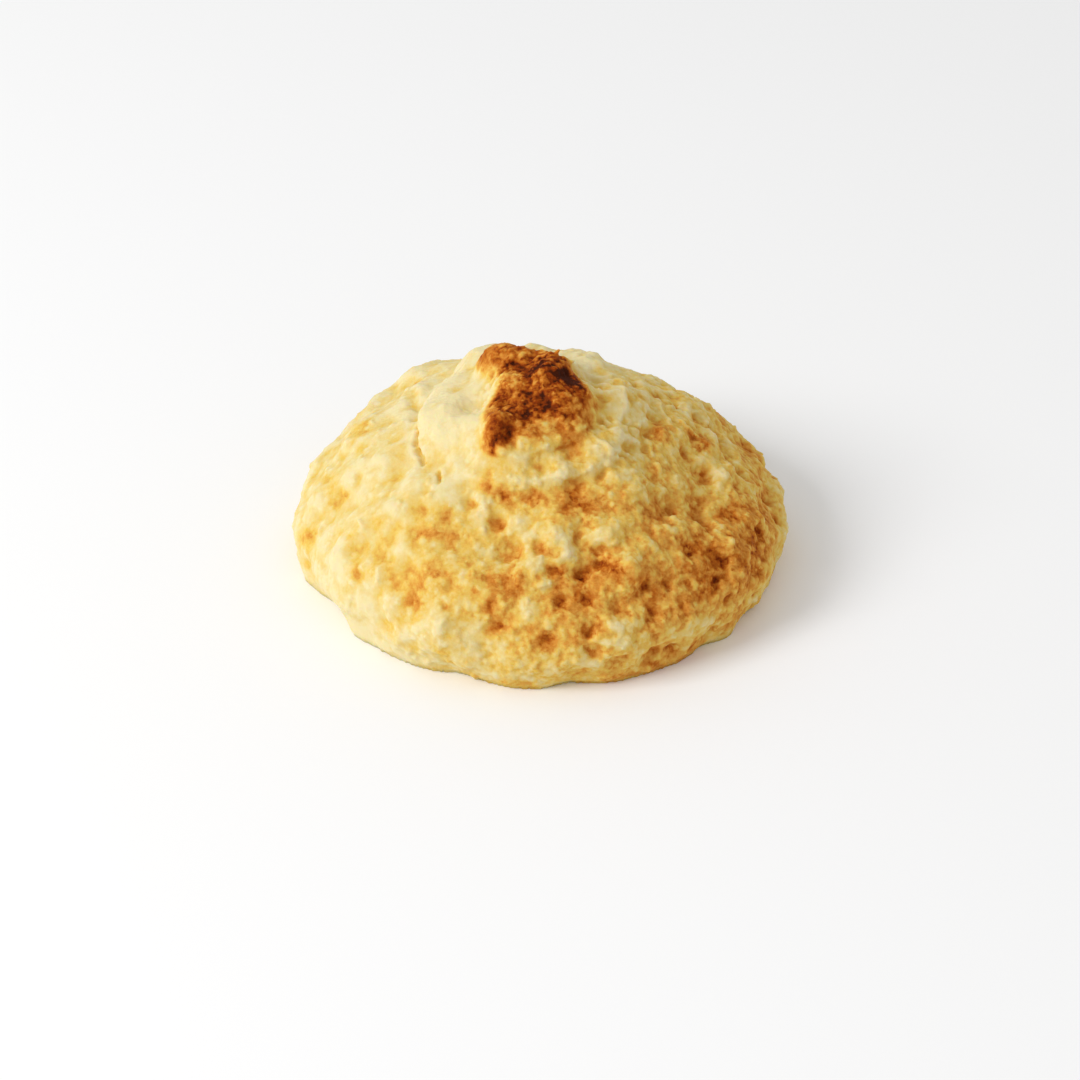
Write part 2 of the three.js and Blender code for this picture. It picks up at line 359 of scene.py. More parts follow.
# The browned peak's outline, as seen from above
PEAK_OUTLINE = (
    (-8.6, 4.8),
    (-8.3, 2.2),
    (-7.2, 0.6),
    (-5.8, -0.8),
    (-5.8, -3.0),
    (-6.1, -5.0),
    (-7.0, -6.4),
    (-7.8, -8.6),
    (-7.8, -11.0),
    (-7.5, -13.0),
    (-6.6, -14.6),
    (-4.9, -14.8),
    (-3.9, -13.6),
    (-0.5, -13.8),
    (1.8, -13.3),
    (3.8, -13.2),
    (5.6, -11.6),
    (6.7, -9.2),
    (7.0, -6.2),
    (6.2, -3.0),
    (3.8, 0.2),
    (1.2, 2.2),
    (-2.0, 4.4),
    (-5.5, 6.4),
)
PEAK_FOOT = (25.0 * MM, 26.0 * MM)  # heights between which the peak starts
PEAK_BROWNING = 0.71
PEAK_HEIGHT = 0.7 * MM
# Lumps of the peak, as seen from above: x, y, reach and height
PEAK_LUMPS = (
    (-6.0, 4.6, 2.3, 1.5),
    (-4.8, -3.6, 1.9, 0.4),
    (-5.8, -12.4, 1.3, 0.4),
    (-2.2, -9.2, 1.6, 0.6),
    (3.2, -8.6, 2.0, 0.7),
    (5.2, -6.2, 1.4, 0.5),
    (0.8, -5.4, 1.5, 0.5),
    (6.4, 0.4, 2.6, -2.8),
    (5.0, -1.8, 1.6, -1.0),
    (2.6, 0.8, 2.0, -1.8),
    (-2.2, 1.4, 1.6, 0.6),
    (1.2, -3.4, 1.6, 0.8),
    (3.4, -3.8, 1.0, -0.8),
    (-3.6, -0.8, 1.3, -0.6),
    (-4.0, -7.4, 1.1, -0.5),
    (-3.8, -13.4, 0.9, -0.8),
    (7.0, 12.0, 1.6, 1.0),
    (-9.4, 11.2, 2.4, 0.8),
    (-17.5, 9.0, 2.4, 0.8),
)
# Areas of the peak that baked darker or stayed lighter
PEAKS = (
    Oval(2.5, -4.2, 3.7, 1.7, -28, 0.34),
    Oval(4.6, -5.8, 1.6, 1.3, -20, 0.14),
    Oval(-0.8, -9.5, 2.6, 1.4, 0, 0.12),
    Oval(-5.8, -13.0, 2.2, 2.0, 0, 0.12),
    Oval(-5.0, -13.8, 1.3, 1.5, 0, 0.15),
    Oval(-6.4, 4.6, 1.4, 1.6, 0, 0.06),
    Oval(-3.8, 0.6, 1.0, 1.8, 0, 0.10),
    Oval(-4.6, -3.2, 1.8, 2.4, 0, -0.12),
    Oval(-1.6, -5.0, 1.8, 1.4, 0, -0.08),
    Oval(2.0, -12.4, 4.6, 1.5, 0, -0.24),
    Oval(5.8, -9.4, 1.6, 1.6, 0, -0.10),
)
PEAK = Oval(-0.6, -3.8, 7.2, 9.4, 0, 0)
COIL = Oval(-0.7, -1.0, 16.5, 16.5, 0, -0.09)

# How steep the edge of an oval is, by the power that its reach is raised to
FIRM_EDGE = 6
AREA_EDGE = 3

# The side that is crumbliest and darkest, and the cosines between which it fades
DARK_AZIMUTH = -35
CRUMBLY_SIDE = (-0.35, 0.75)
BROWNED_SIDE = (-0.3, 0.8)
LEAST_CRUMBLY = 0.27
COIL_FIRMNESS = 0.7
COIL_SPARED = 0.4  # how much the coil is spared of lumps and of the dark side's browning

# Browning, from 0 for cream to 1 for burnt
PLAIN_BROWNING = 0.13
MOST_BROWNED = 0.72  # away from the peak
SIDE_BROWNING = 0.22
RIM_BROWNING = 0.13
DARK_RIM_BROWNING = 0.35
RIM_BAND = (0.3 * MM, 1.6 * MM)  # heights between which the foot's browned rim ends
RIM_COVER = 0.7
PEAK_SOFTNESS = 1.1  # half the width of the peak's browned edge, in millimetres

# The waves of ragged edges, whose strength is in millimetres, and of uneven browning
NOISE_SEED = 5  # without a seed, the noise starts from the clock
SPOT_EDGES = Waves(0.9, 2.6, 9.2)
PEAK_EDGES = Waves(0.8, 2.4, 5.5)
LINE_EDGES = Waves(0.7, 2.2, 12.6)
PATCH_EDGES = Waves(1.3, 4.0, 3.1)
FINE_EDGES = Waves(0.6, 1.4, 17.4)
BROAD_SHADES = Waves(0.13, 4.2, 29.8)
FINE_SHADES = Waves(0.14, 1.8, 33.3)
RIM_SHADES = Waves(0.8, 3.0, 7.7)

# The dough
WEIGHT_STEPS = 20
UNDERSIDE = (0.3, 0.8)  # how far down a place has to face to be part of the underside
UNDERSIDE_HEIGHT = 2.0 * MM
KNOB_FADE = 1.5  # power of the crumbliness that knobs go by
PEAK_STEP = 0.8  # half the width of the slope around the peak, in millimetres
PEAK_LUMP_FLOOR = 15.0 * MM  # lumps of the peak stay above this
DEPTH_IGNORED = 0.8  # share of a depth that doesn't count towards a mark's reach

# Hollows and lumps set down at random
MARK_SEED = 7
MARK_TRIES = 6000
MARK_CLEAR = 3.0 * MM  # none is set down lower than this
NEAR_PEAK = 0.05  # or where more than this share belongs to the peak
FIRM_DEPTH = 0.15  # share of the depth that is left where the crust is firm
MARK_DEPTHS = (0.5, 1.2)  # least and most, in millimetres
MARK_REACHES = (0.7, 1.6)
HOLLOW_BROWNING = (0.02, 0.10)
LUMP_BROWNING = -0.02
LUMP_CHANCE = 0.35
LUMP_SHARE = 0.6  # a lump's height as a share of a hollow's depth

# The coconut: shapes and lie in parts of a bit's own size
STREW_SEED = 41
CRUMB = Bit("crumb", (1.0, 0.85, 0.6), 0.12, 1, 0.30, -0.25, 0.15)
GRAIN = Bit("grain", (1.0, 0.7, 0.55), 0.15, 2, 0.25, -0.05, 0.3)
PEAK_GRAIN = Bit("peak grain", (1.0, 0.75, 0.6), 0.15, 4, 0.25, 0.2, 0.5)
SHRED = Bit("shred", (1.0, 0.24, 0.18), 0.06, 3, 0.25, -0.02, 0.14)
FINE_GRAIN = Bit("fine grain", (1.0, 0.7, 0.5), 0.15, 5, 0.25, 0.0, 0.3)
FOOT_CLEAR = 1.0 * MM  # no coconut is strewn lower than this
SHRED_CLEAR = 3.0 * MM  # and no long shreds lower than this
DROP = 5.0 * MM  # places meet the dough within this far of the plain solid

# The crust
LEAST_GRIT = 0.2
GRIT_CLEAR = 1.0 * MM  # lower than this, the grit fades to its least
FOOT_BAND = 0.45 * MM  # what is lower than this and faces down is the flat foot
FACING_DOWN = -0.3
FACE_SLACK = 1000  # how many triangles too many the thinning may leave
MIDDLE_TONE = 0.5  # of bare dough
TONE_REACH = 0.25 * MM  # how near coconut has to be to give its tone
DEPTHS = (
    # name, rounds of smoothing, depth that counts as full
    ("hollow", 8, 0.1 * MM),
    ("pit", 90, 0.5 * MM),
)
# Painted shade together with some baked browning: hollows browner and lumps paler by the depths
# above
HOLLOW_PAINTED_SHADE = 0.06
PIT_PAINTED_SHADE = 0.12
TONE_SHADE = 0.7
MOTTLE_SIZE = 1.8 * MM
SPECK_SIZE = 0.5 * MM
CRUMB_SIZE = 0.55 * MM
GRIT_DEPTH = 0.10 * MM

# The stage, in metres but for the sensor's width
FLOOR_SIZE = 6
KEY_PLACE = (-0.75, -0.35, 0.6)
KEY_SIZE = 0.45
SENSOR_WIDTH = 36
NEAREST_SEEN = 0.01


class DoughSettings(bpy.types.PropertyGroup):
    """Sizes of the dough's skin."""

    dough_pitch: FloatProperty(
        name="Dough Pitch",
        description="Grid of the skin that the lumps and hollows are pressed into",
        default=0.42 * MM,
        unit="LENGTH",
    )
    crust_pitch: FloatProperty(
        name="Crust Pitch",
        description="Grid that the dough and its coconut are fused on",
        default=0.27 * MM,
        unit="LENGTH",
    )
    lump_size: FloatProperty(
        name="Lump Size",
        description="How far apart the dough's own lumps are",
        default=4.2 * MM,
        unit="LENGTH",
    )
    lump_height: FloatProperty(
        name="Lump Height",
        description="How far they stand out",
        default=1.0 * MM,
        unit="LENGTH",
    )
    knob_size: FloatProperty(
        name="Knob Size",
        description="How far apart the crumbly side's knobs are",
        default=2.2 * MM,
        unit="LENGTH",
    )
    knob_height: FloatProperty(
        name="Knob Height",
        description="How far they stand out",
        default=0.9 * MM,
        unit="LENGTH",
    )
    chance_marks: IntProperty(
        name="Chance Marks",
        description="How many hollows and lumps there are besides the named ones",
        default=230,
    )
    mark_spacing: FloatProperty(
        name="Mark Spacing",
        description="How far apart those are",
        default=2.7 * MM,
        unit="LENGTH",
    )
    grit_size: FloatProperty(
        name="Grit Size",
        description="How far apart the crust's fine grit is",
        default=0.85 * MM,
        unit="LENGTH",
    )
    grit_height: FloatProperty(
        name="Grit Height",
        description="How far it stands out",
        default=0.22 * MM,
        unit="LENGTH",
    )
    faces: IntProperty(
        name="Faces",
        description="The most triangles that the crust keeps",
        default=190000,
    )


class CoconutSettings(bpy.types.PropertyGroup):
    """How much coconut is strewn on the dough, and how coarse it is."""

    crumbs: IntProperty(
        name="Crumbs", description="Clots of dough and coconut", default=260
    )
    crumb_radius: FloatProperty(
        name="Crumb Radius",
        description="Half the width of a middling clot",
        default=0.75 * MM,
        unit="LENGTH",
    )
    grains: IntProperty(
        name="Grains", description="Grains of desiccated coconut", default=5200
    )
    grain_radius: FloatProperty(
        name="Grain Radius",
        description="Half the length of a middling grain",
        default=0.40 * MM,
        unit="LENGTH",
    )
    peak_grains: IntProperty(
        name="Peak Grains", description="Coarser grains that stand on the peak", default=620
    )
    peak_grain_radius: FloatProperty(
        name="Peak Grain Radius",
        description="Half the length of a middling one",
        default=0.38 * MM,
        unit="LENGTH",
    )
    fine_grains: IntProperty(
        name="Fine Grains",
        description="The finest grains, most of them on the coil",
        default=1500,
    )
    fine_grain_radius: FloatProperty(
        name="Fine Grain Radius",
        description="Half the length of a middling one",
        default=0.30 * MM,
        unit="LENGTH",
    )
    shreds: IntProperty(
        name="Shreds", description="Longer shreds of coconut", default=420
    )
    shred_radius: FloatProperty(
        name="Shred Radius",
        description="Half the length of a middling shred",
        default=0.9 * MM,
        unit="LENGTH",
    )


class OvenSettings(bpy.types.PropertyGroup):
    """Colours of the crust, from unbrowned to burnt."""

    cream: FloatVectorProperty(
        name="Cream",
        description="Dough that hardly browned",
        subtype="COLOR",
        default=(0.75, 0.64, 0.35),
    )
    pale: FloatVectorProperty(
        name="Pale",
        description="The common pale crust",
        subtype="COLOR",
        default=(0.73, 0.57, 0.23),
    )
    golden: FloatVectorProperty(
        name="Golden",
        description="Lightly browned crust",
        subtype="COLOR",
        default=(0.72, 0.48, 0.10),
    )
    amber: FloatVectorProperty(
        name="Amber",
        description="Well browned crust",
        subtype="COLOR",
        default=(0.64, 0.285, 0.046),
    )
    toast: FloatVectorProperty(
        name="Toast",
        description="Toasted crust",
        subtype="COLOR",
        default=(0.47, 0.135, 0.012),
    )
    brown: FloatVectorProperty(
        name="Brown",
        description="Dark crust",
        subtype="COLOR",
        default=(0.24, 0.038, 0.003),
    )
    burnt: FloatVectorProperty(
        name="Burnt",
        description="The burnt tips",
        subtype="COLOR",
        default=(0.055, 0.010, 0.003),
    )


class StudioSettings(bpy.types.PropertyGroup):
    """The camera and the lights."""

    elevation: FloatProperty(
        name="Elevation",
        description="The camera's height above the horizon",
        default=math.radians(34.5),
        unit="ROTATION",
    )
    distance: FloatProperty(
        name="Distance",
        description="From the camera to the place that it looks at",
        default=426 * MM,
        unit="LENGTH",
    )
    aim_height: FloatProperty(
        name="Aim Height",
        description="How high above the foot's middle the camera looks",
        default=1.8 * MM,
        unit="LENGTH",
    )
    lens: FloatProperty(
        name="Lens", description="Focal length in millimetres", default=100
    )
    sky: FloatProperty(
        name="Sky", description="Strength of the light from all round", default=0.65
    )
    key_power: FloatProperty(
        name="Key Power",
        description="Power of the light at the front left",
        default=6.6,
        unit="POWER",
    )
    floor_color: FloatVectorProperty(
        name="Floor Color",
        description="The pale floor",
        subtype="COLOR",
        default=(0.94, 0.94, 0.94),
    )


# ------------------------------------------------------------------ objects and meshes


def deselect_all():
    bpy.ops.object.select_all(action="DESELECT")


def take(obj):
    deselect_all()
    obj.select_set(True)
    bpy.context.view_layer.objects.active = obj


def finish_with(obj, kind, **settings):
    """Adds a modifier and applies it."""
    take(obj)
    modifier = obj.modifiers.new(kind.title(), kind)
    for name, value in settings.items():
        setattr(modifier, name, value)
    bpy.ops.object.modifier_apply(modifier=modifier.name)


def read(items, name, width):
    """One kind of value of all the items of a mesh."""
    values = np.empty(len(items) * width, np.float32)
    items.foreach_get(name, values)
    return values.reshape(-1, width) if width > 1 else values


def corners(mesh):
    return read(mesh.vertices, "co", 3)


def outward(mesh):
    return read(mesh.vertices, "normal", 3)


def move_corners(mesh, places):
    mesh.vertices.foreach_set("co", places.astype(np.float32).ravel())
    mesh.update()


def skin_tree(obj):
    return BVHTree.FromObject(obj, bpy.context.evaluated_depsgraph_get())


def smooth_step(values, low, high):
    share = np.clip((values - low) / (high - low), 0, 1)
    return share * share * (3 - 2 * share)


def bell(distance, reach):
    return np.exp(-((distance / reach) ** 2))


# ------------------------------------------------------------------ places on the dough


class Mark(NamedTuple):
    """A spot set down on the dough: its middle and the way out of the dough there."""

    middle: np.ndarray
    out: np.ndarray
    reach: float
    height: float
    browning: float


def met_from_outside(tree, azimuth, rise):
    """The dough's place at an azimuth and a height, and the way out there."""
    turn = math.radians(azimuth)
    away = Vector((math.cos(turn), math.sin(turn), 0))
    start = away * FRAME_BOX[1].length * 2 + Vector((0, 0, rise * MM))
    place, out = tree.ray_cast(start, -away)[:2]
    if place is None:
        raise RuntimeError(f"no dough at azimuth {azimuth}, rise {rise}")
    return np.array(place), np.array(out)


def set_down(tree, spots):
    """The named spots as marks on the dough."""
    marks = []
    for azimuth, rise, reach, height, browning in spots:
        middle, out = met_from_outside(tree, azimuth, rise)
        marks.append(Mark(middle, out, reach * MM, height * MM, browning))
    return marks


def mark_share(places, mark):
    """How strongly each place belongs to a mark, mostly by how far it lies sideways."""
    gap = places - mark.middle
    gap -= DEPTH_IGNORED * np.outer(gap @ mark.out, mark.out)
    return bell(np.linalg.norm(gap, axis=1), mark.reach)


def line_distance(places, points):
    """How far each place is from a line of straight stretches."""
    nearest = np.full(len(places), np.inf)
    for start, end in zip(points[:-1], points[1:]):
        along = end - start
        share = np.clip((places - start) @ along / (along @ along), 0, 1)
        gap = places - start - share[:, None] * along
        nearest = np.minimum(nearest, np.linalg.norm(gap, axis=1))
    return nearest


def line_shares(places, tree, lines):
    """Each line, with how strongly every place belongs to it."""
    for line in lines:
        points = [met_from_outside(tree, *place)[0] for place in line.places]
        yield line, bell(line_distance(places, points), line.width * MM)


def oval_share(places, oval, steepness=2):
    """How strongly each place belongs to an oval seen from above."""
    turn = math.radians(oval.turn)
    x = places[:, 0] / MM - oval.x
    y = places[:, 1] / MM - oval.y
    along = x * math.cos(turn) + y * math.sin(turn)
    across = y * math.cos(turn) - x * math.sin(turn)
    reach = np.hypot(along / oval.reach_x, across / oval.reach_y)
    return np.exp(-(reach**steepness))


def on_peak(places):
    """1 on the peak, 0 off it, with a firm edge."""
    return oval_share(places, PEAK, FIRM_EDGE)


def on_coil(places):
    """1 on the coil and what it carries, 0 off it, with a firm edge."""
    return oval_share(places, COIL, FIRM_EDGE)


def peak_area(places, ragged, softness):
    """1 on the browned peak, 0 off it, with a ragged edge."""
    inside = inside_outline(ragged, PEAK_OUTLINE, softness)
    return inside * smooth_step(places[:, 2], *PEAK_FOOT)


def inside_outline(places, outline, softness):
    """1 inside an outline seen from above, 0 outside it, with a soft edge."""
    flat = np.column_stack([places[:, :2] / MM, np.zeros(len(places))])
    points = np.array([(x, y, 0) for x, y in outline])
    ends = np.roll(points, -1, axis=0)
    edge = line_distance(flat, np.vstack([points, points[:1]]))
    inside = np.zeros(len(places), bool)
    for (ax, ay, _), (bx, by, _) in zip(points, ends):
        crosses = (flat[:, 1] < ay) != (flat[:, 1] < by)
        slope = (bx - ax) / (by - ay) if by != ay else 0
        inside ^= crosses & (flat[:, 0] < ax + (flat[:, 1] - ay) * slope)
    return smooth_step(np.where(inside, edge, -edge), -softness, softness)


def unevenness(places, waves):
    """Three soft noises between -1 and 1 at each place."""
    moved = places / (waves.size * MM) + waves.start
    return np.array([noise.noise_vector(Vector(place)) for place in moved], np.float32)


def drift(places, waves):
    """How far the waves carry each place, which makes the edges around it ragged."""
    return waves.strength * MM * unevenness(places, waves)


def shading(places, waves):
    """How much the waves brown each place."""
    return waves.strength * unevenness(places, waves)[:, 0]


def dark_side(places, low, high):
    """0 on the pale side, 1 on the dark one, between two cosines of the turn from it."""
    turn = np.arctan2(places[:, 1], places[:, 0]) - math.radians(DARK_AZIMUTH)
    return smooth_step(np.cos(turn), low, high)


def crumbliness(places):
    """How loose the crust is at each place, from 0 to 1."""
    side = dark_side(places, *CRUMBLY_SIDE)
    coil = on_coil(places)
    loose = LEAST_CRUMBLY + (1 - LEAST_CRUMBLY) * side * (1 - COIL_FIRMNESS * coil)
    return np.clip(np.maximum(loose, on_peak(places)), 0, 1)


# ------------------------------------------------------------------ the dough


def welded_dough():
    """A copy of the frame's solid with its triangles joined up."""
    mesh = frame["nodes"][NODE].data.copy()
    mesh.materials.clear()
    dough = bpy.data.objects.new(CRUST, mesh)
    bpy.context.scene.collection.objects.link(dough)
    take(dough)
    bpy.ops.object.mode_set(mode="EDIT")
    bpy.ops.mesh.select_all(action="SELECT")
    bpy.ops.mesh.remove_doubles(threshold=0.001 * MM)
    bpy.ops.object.mode_set(mode="OBJECT")
    return dough


def weigh(obj, name, weights):
    """Gives the object a vertex group, one weight for each corner."""
    group = obj.vertex_groups.new(name=name)
    steps = np.round(weights * WEIGHT_STEPS).astype(int)
    for step in np.unique(steps):
        chosen = np.flatnonzero(steps == step).tolist()
        group.add(chosen, step / WEIGHT_STEPS, "REPLACE")


def clouds(name, size):
    texture = bpy.data.textures.new(name, "CLOUDS")
    texture.noise_basis = "IMPROVED_PERLIN"
    texture.noise_scale = size
    texture.noise_depth = 2
    return texture


def knead(dough, settings):
    """Gives the dough its own lumps all over, and knobs on its crumbly side."""
    places = corners(dough.data)
    down = smooth_step(-outward(dough.data)[:, 2], *UNDERSIDE)
    off_foot = 1 - down * (1 - smooth_step(places[:, 2], 0, UNDERSIDE_HEIGHT))
    weigh(dough, "off the foot", off_foot * (1 - COIL_SPARED * on_coil(places)))
    weigh(dough, "crumbly", off_foot * crumbliness(places) ** KNOB_FADE)
    finish_with(
        dough,
        "DISPLACE",
        texture=clouds("lumps", settings.lump_size),
        texture_coords="LOCAL",
        strength=settings.lump_height,
        vertex_group="off the foot",
    )
    finish_with(
        dough,
        "DISPLACE",
        texture=clouds("knobs", settings.knob_size),
        texture_coords="LOCAL",
        strength=settings.knob_height,
        vertex_group="crumbly",
    )
    dough.vertex_groups.clear()


def press_marks(dough, marks):
    """Raises the lumps and presses in the hollows."""
    places = corners(dough.data)
    ragged = places + drift(places, SPOT_EDGES)
    push = np.zeros(len(places))
    for mark in marks:
        push += mark.height * mark_share(ragged, mark)
    move_corners(dough.data, places + outward(dough.data) * push[:, None])


def press_peak(dough):
    """Makes the peak a crumbly mass of its own, standing on the coil."""
    places = corners(dough.data)
    ragged = places + drift(places, PEAK_EDGES)
    push = PEAK_HEIGHT * peak_area(places, ragged, PEAK_STEP)
    high = places[:, 2] > PEAK_LUMP_FLOOR
    for x, y, reach, height in PEAK_LUMPS:
        lump = Oval(x, y, reach, reach, 0, 0)
        push += height * MM * oval_share(ragged, lump) * high
    move_corners(dough.data, places + outward(dough.data) * push[:, None])


def press_lines(dough, lines):
    """Raises the ridges and presses in the cracks."""
    places = corners(dough.data)
    ragged = places + drift(places, LINE_EDGES)
    push = np.zeros(len(places))
    for line, share in line_shares(ragged, skin_tree(dough), lines):
        push += line.height * MM * share
    move_corners(dough.data, places + outward(dough.data) * push[:, None])


def chance_marks(tree, named, settings):
    """Hollows and lumps at random, clear of each other and of the named ones."""
    rng = np.random.default_rng(MARK_SEED)
    places, normals = PlainSkin().pick(rng, MARK_TRIES, 1, tree)
    loose = crumbliness(places)
    taken = [mark.middle for mark in named]
    marks = []
    for i, place in enumerate(places):
        if len(marks) == settings.chance_marks:
            break
        if place[2] < MARK_CLEAR or on_peak(places[i : i + 1])[0] > NEAR_PEAK:
            continue
        gaps = np.linalg.norm(np.array(taken) - place, axis=1)
        if gaps.min() < settings.mark_spacing:
            continue
        taken.append(place)
        depth = -(FIRM_DEPTH + (1 - FIRM_DEPTH) * loose[i]) * rng.uniform(*MARK_DEPTHS)
        if rng.random() < LUMP_CHANCE:
            depth *= -LUMP_SHARE
        browning = rng.uniform(*HOLLOW_BROWNING) if depth < 0 else LUMP_BROWNING
        reach = rng.uniform(*MARK_REACHES)
        marks.append(Mark(place, normals[i], reach * MM, depth * MM, browning))
    return marks


# ------------------------------------------------------------------ the coconut


def pattern(bit):
    """One bit of coconut, of unit size: its corners and its triangles."""
    deselect_all()
    bpy.ops.mesh.primitive_ico_sphere_add(subdivisions=1, radius=1)
    made = bpy.context.object
    made.name = bit.name
    bpy.ops.object.mode_set(mode="EDIT")
    bpy.ops.mesh.select_all(action="SELECT")
    bpy.ops.transform.vertex_random(offset=bit.roughness, seed=bit.seed)
    bpy.ops.transform.resize(value=bit.proportions)
    bpy.ops.object.mode_set(mode="OBJECT")
    shape = corners(made.data)
    triangles = np.array([tuple(face.vertices) for face in made.data.polygons])
    bpy.data.objects.remove(made)
    return shape, triangles


class PlainSkin:
    """The frame's own triangles, to pick places from that are then set on the dough."""

    def __init__(self):
        mesh = frame["nodes"][NODE].data
        triangles = np.empty(len(mesh.polygons) * 3, np.int32)
        mesh.polygons.foreach_get("vertices", triangles)
        self.corners = corners(mesh)[triangles.reshape(-1, 3)]
        across = self.corners[:, 1] - self.corners[:, 0]
        up = self.corners[:, 2] - self.corners[:, 0]
        cross = np.cross(across, up)
        self.area = np.linalg.norm(cross, axis=1)
        self.normals = cross / self.area[:, None]
        self.middles = self.corners.mean(axis=1)

    def pick(self, rng, count, weights, tree):
        """Places on the dough picked at random, and the way out of it at each."""
        weights = weights * self.area * (self.middles[:, 2] > FOOT_CLEAR)
        chosen = rng.choice(len(weights), count, p=weights / weights.sum())
        a, b = np.sqrt(rng.random(count)), rng.random(count)
        shares = np.stack([1 - a, a * (1 - b), a * b], axis=1)
        places = (self.corners[chosen] * shares[:, :, None]).sum(axis=1)
        normals = self.normals[chosen]
        for i in range(count):
            out = Vector(normals[i])
            start = Vector(places[i]) + out * DROP
            met, way = tree.ray_cast(start, -out, 2 * DROP)[:2]
            if met is not None:
                places[i], normals[i] = met, way
        return places, normals


def turned_frames(rng, normals, tilt):
    """For each way out, three axes turned about it at random and tilted a little."""
    loose = rng.normal(size=normals.shape)
    lean = normals + tilt * rng.normal(size=normals.shape)
    up = lean / np.linalg.norm(lean, axis=1, keepdims=True)
    along = np.cross(loose, up)
    along /= np.linalg.norm(along, axis=1, keepdims=True)
    return np.stack([along, np.cross(up, along), up], axis=1)


def strewn(shape, triangles, places, normals, frames, sizes, proud):
    """Copies of one bit at all the places, standing proud of the dough by a share."""
    centres = places + normals * (sizes * proud)[:, None]
    points = np.einsum("vk,nkx->nvx", shape, frames) * sizes[:, None, None]
    points += centres[:, None, :]
    offsets = np.arange(len(places))[:, None, None] * len(shape)
    return points.reshape(-1, 3), (triangles[None] + offsets).reshape(-1, 3)


def coconut_object(batches):
    """One mesh of all the strewn bits."""
    places = np.concatenate([points for points, _ in batches])
    starts = np.cumsum([0] + [len(points) for points, _ in batches[:-1]])
    faces = np.concatenate(
        [triangles + start for (_, triangles), start in zip(batches, starts)]
    )
    mesh = bpy.data.meshes.new("coconut")
    mesh.vertices.add(len(places))
    mesh.vertices.foreach_set("co", places.astype(np.float32).ravel())
    mesh.loops.add(faces.size)
    mesh.loops.foreach_set("vertex_index", faces.astype(np.int32).ravel())
    mesh.polygons.add(len(faces))
    mesh.polygons.foreach_set("loop_start", np.arange(0, faces.size, 3, dtype=np.int32))
    mesh.update(calc_edges=True)
    coconut = bpy.data.objects.new("coconut", mesh)
    bpy.context.scene.collection.objects.link(coconut)
    return coconut


def strew(dough, settings):
    """All the coconut on the dough, and a tone for each of its triangles."""
    rng = np.random.default_rng(STREW_SEED)
    skin = PlainSkin()
    tree = skin_tree(dough)
    loose = crumbliness(skin.middles)
    peak = on_peak(skin.middles)
    clear = skin.middles[:, 2] > SHRED_CLEAR
    kinds = (
        # kind, how many, middling size, where it mostly falls
        (CRUMB, settings.crumbs, settings.crumb_radius, 0.02 + loose**2 + 0.6 * peak),
        (GRAIN, settings.grains, settings.grain_radius, 0.08 + loose**2 + 0.5 * peak),
        (PEAK_GRAIN, settings.peak_grains, settings.peak_grain_radius, peak**2),
        (
            SHRED,
            settings.shreds,
            settings.shred_radius,
            (0.1 + loose + 0.5 * peak) * clear,
        ),
        (
            FINE_GRAIN,
            settings.fine_grains,
            settings.fine_grain_radius,
            0.35 + on_coil(skin.middles) - 0.3 * peak,
        ),
    )
    batches, tones = [], []
    for bit, count, size, weights in kinds:
        shape, triangles = pattern(bit)
        places, normals = skin.pick(rng, count, weights, tree)
        sizes = size * np.exp(bit.spread * rng.normal(size=count))
        frames = turned_frames(rng, normals, bit.tilt)
        batches.append(
            strewn(shape, triangles, places, normals, frames, sizes, bit.proud)
        )
        tones.append(np.repeat(rng.random(count), len(triangles)))
    return coconut_object(batches), np.concatenate(tones)


# ------------------------------------------------------------------ the crust


def fuse(dough, coconut, pitch):
    """Makes one closed skin of the dough and all its coconut."""
    take(dough)
    coconut.select_set(True)
    bpy.ops.object.join()
    finish_with(dough, "REMESH", mode="VOXEL", voxel_size=pitch)
    drop_loose(dough)
    finish_with(dough, "SMOOTH", factor=0.5, iterations=1)


def drop_loose(dough):
    """Deletes closed pockets and loose bits: all that isn't joined to the top."""
    take(dough)
    bpy.ops.object.mode_set(mode="EDIT")
    bpy.ops.mesh.select_mode(type="VERT")
    bpy.ops.mesh.select_all(action="DESELECT")
    bpy.ops.object.mode_set(mode="OBJECT")
    top = int(corners(dough.data)[:, 2].argmax())
    dough.data.vertices[top].select = True
    bpy.ops.object.mode_set(mode="EDIT")
    bpy.ops.mesh.select_linked()
    bpy.ops.mesh.select_all(action="INVERT")
    bpy.ops.mesh.delete(type="VERT")
    bpy.ops.object.mode_set(mode="OBJECT")


def roughen(dough, settings):
    """Gives the crust its fine grit, coarsest where it is crumbly."""
    places = corners(dough.data)
    loose = crumbliness(places) * smooth_step(places[:, 2], 0, GRIT_CLEAR)
    weigh(dough, "gritty", LEAST_GRIT + (1 - LEAST_GRIT) * loose)
    grit = bpy.data.textures.new("grit", "VORONOI")
    grit.noise_scale = settings.grit_size
    finish_with(
        dough,
        "DISPLACE",
        texture=grit,
        texture_coords="LOCAL",
        strength=-settings.grit_height,
        vertex_group="gritty",
    )
    dough.vertex_groups.clear()


def stand_in_box(dough):
    """Fits the crust to the frame's box and flattens its foot."""
    places = corners(dough.data)
    places[:, 2] = np.maximum(places[:, 2], 0)
    low, high = places.min(axis=0), places.max(axis=0)
    box_low, box_high = (np.array(corner) for corner in FRAME_BOX)
    places = box_low + (places - low) * (box_high - box_low) / (high - low)
    on_tray = (places[:, 2] < FOOT_BAND) & (outward(dough.data)[:, 2] < FACING_DOWN)
    places[on_tray, 2] = box_low[2]
    move_corners(dough.data, places)


